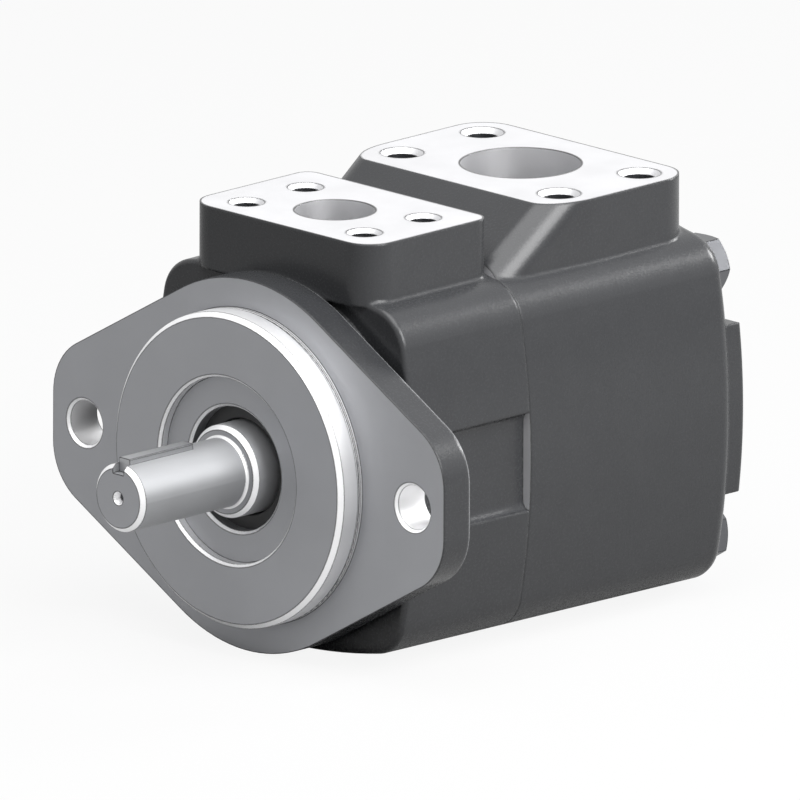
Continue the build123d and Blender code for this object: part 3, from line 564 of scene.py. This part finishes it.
# Ground finer than the shaft, and its lighter colour is a painted highlight on the seal journal.
lit_journal_steel = turned_metal("lit_ground_journal", "#d4d5d7", 0.50, "Y", 0.6, 0.004)
key_steel = turned_metal("cold_drawn_key_steel", "#b5b6b8", 0.42, "X", 3.0, 0.004)
carrier_steel = turned_metal("fine_turned_steel", "#a6a7aa", 0.55, "Y", 0.5, 0.006)
bolt_steel = turned_metal("phosphated_bolt_steel", "#6a6b6e", 0.36, "Y", 1.2, 0.006, blotch_mm=4.0)
bearing_steel = turned_metal("polished_bearing_steel", "#d6d7d9", 0.12, "Y", 0.8, 0.002)
spring_steel = turned_metal("oiled_spring_steel", "#77787b", 0.34, "Y", 0.8, 0.003)
lapped_steel = turned_metal("lapped_tool_steel", "#a9abae", 0.26, "Y", 0.7, 0.003)
ground_iron = turned_metal("ground_nodular_iron", "#85868a", 0.38, "Y", 0.6, 0.005)
cage_brass = turned_metal("machined_brass", "#d5b26a", 0.30, "Y", 0.6, 0.004)
bush_bronze = turned_metal("turned_bearing_bronze", "#b8814f", 0.34, "Y", 0.5, 0.005)
black_steel = turned_metal("black_oxide_steel", "#2b2b2d", 0.38, "Y", 0.8, 0.004)
print("twelve more metals")

# %% [markdown]
# ## Rubber and PTFE
#
# The seals are moulded nitrile rubber, and the backup ring is white PTFE. Moulded
# rubber is matt black with a grain finer than a millimetre and a slight bloom of wax
# that comes to its surface, so a fine noise lifts its colour a little. A plain black
# would look like a hole.

# %% Rubber and PTFE
BLOOM = 1.6
RUBBER_GRAIN_DEPTH_MM = 0.05
RUBBER_IOR = 1.52


def moulded_rubber(name, colour, roughness, grain_mm):
    """A moulded seal: matt, with a very fine grain and a slight bloom."""
    material, tree, shader, in_mm = start_material(name)
    grain = add_node(tree, "ShaderNodeTexNoise", {"Vector": in_mm, "Scale": 1 / grain_mm, "Detail": 3.0})
    bloom = tuple(v * BLOOM for v in linear(colour)[:3]) + (1.0,)
    colour_mix = add_node(tree, "ShaderNodeMix", data_type="RGBA",
                          inputs={0: grain.outputs[0], 6: linear(colour), 7: bloom})
    bump = add_node(tree, "ShaderNodeBump",
                    {"Height": grain.outputs[0], "Strength": 0.3, "Distance": RUBBER_GRAIN_DEPTH_MM * MM})
    tree.links.new(colour_mix.outputs[2], shader.inputs["Base Color"])
    tree.links.new(bump.outputs[0], shader.inputs["Normal"])
    shader.inputs["Roughness"].default_value = roughness
    shader.inputs["IOR"].default_value = RUBBER_IOR
    return material


nitrile = moulded_rubber("nitrile_rubber", "#1d1d1e", 0.55, 0.6)
ptfe = moulded_rubber("white_ptfe", "#d9d8d2", 0.45, 1.2)
print("two polymers")

# %% [markdown]
# ## One finish for each piece
#
# Every piece but the housings takes one finish from a table of names, which is easy
# to read and to change. Two take more, by the way their faces point. On the shaft
# and on the carrier round it, flat ends are as the lathe left them, and chamfers take
# the near-white iron, a painted highlight. The thick part of the shaft, where the
# seal runs, is ground finer than the rest, and its colour is painted lighter too.

# %% Hand out the finishes
finishes = {
    "housing_bolts": bolt_steel,
    "drive_shaft": ground_steel,
    "shaft_key": key_steel,
    "seal_carrier": carrier_steel,
    "carrier_oring": nitrile,
    "shaft_seal": nitrile,
    "seal_spring": spring_steel,
    "bearing_inner_race": bearing_steel,
    "bearing_outer_race": bearing_steel,
    "bearing_balls": bearing_steel,
    "bearing_cage": cage_brass,
    "shaft_ring": spring_steel,
    "front_port_plate": ground_iron,
    "hub_oring": nitrile,
    "plate_oring": nitrile,
    "plate_backup_ring": ptfe,
    "cam_ring": lapped_steel,
    "rear_port_plate": ground_iron,
    "rear_bush": bush_bronze,
    "rotor": lapped_steel,
    "cartridge_screws": black_steel,
    "dowel_pins": lapped_steel,
    "joint_oring": nitrile,
}
for name, piece in nodes.items():
    finish = lapped_steel if name.startswith("vane_") else finishes.get(name)
    if finish:
        piece.data.materials.clear()
        piece.data.materials.append(finish)

END_FACE, CHAMFER, JOURNAL = 1, 2, 3
OBLIQUE = 0.1
SHAFT_STEP = 13 * MM
# Chamfers take the near-white iron and the journal the lighter steel: painted highlights.
for name in ("drive_shaft", "seal_carrier"):
    piece = nodes[name]
    for finish in (turned_iron, highlight_iron, lit_journal_steel):
        piece.data.materials.append(finish)
    for face in piece.data.polygons:
        along_shaft = abs(face.normal.y)
        from_shaft = math.hypot(face.center.x, face.center.z)
        if face.center.y < 0 and along_shaft > FLAT:
            face.material_index = END_FACE
        elif face.center.y < 0 and along_shaft > OBLIQUE:
            face.material_index = CHAMFER
        elif name == "drive_shaft" and from_shaft > SHAFT_STEP:
            face.material_index = JOURNAL
print("finished", len(finishes) + sum(name.startswith("vane_") for name in nodes), "pieces")
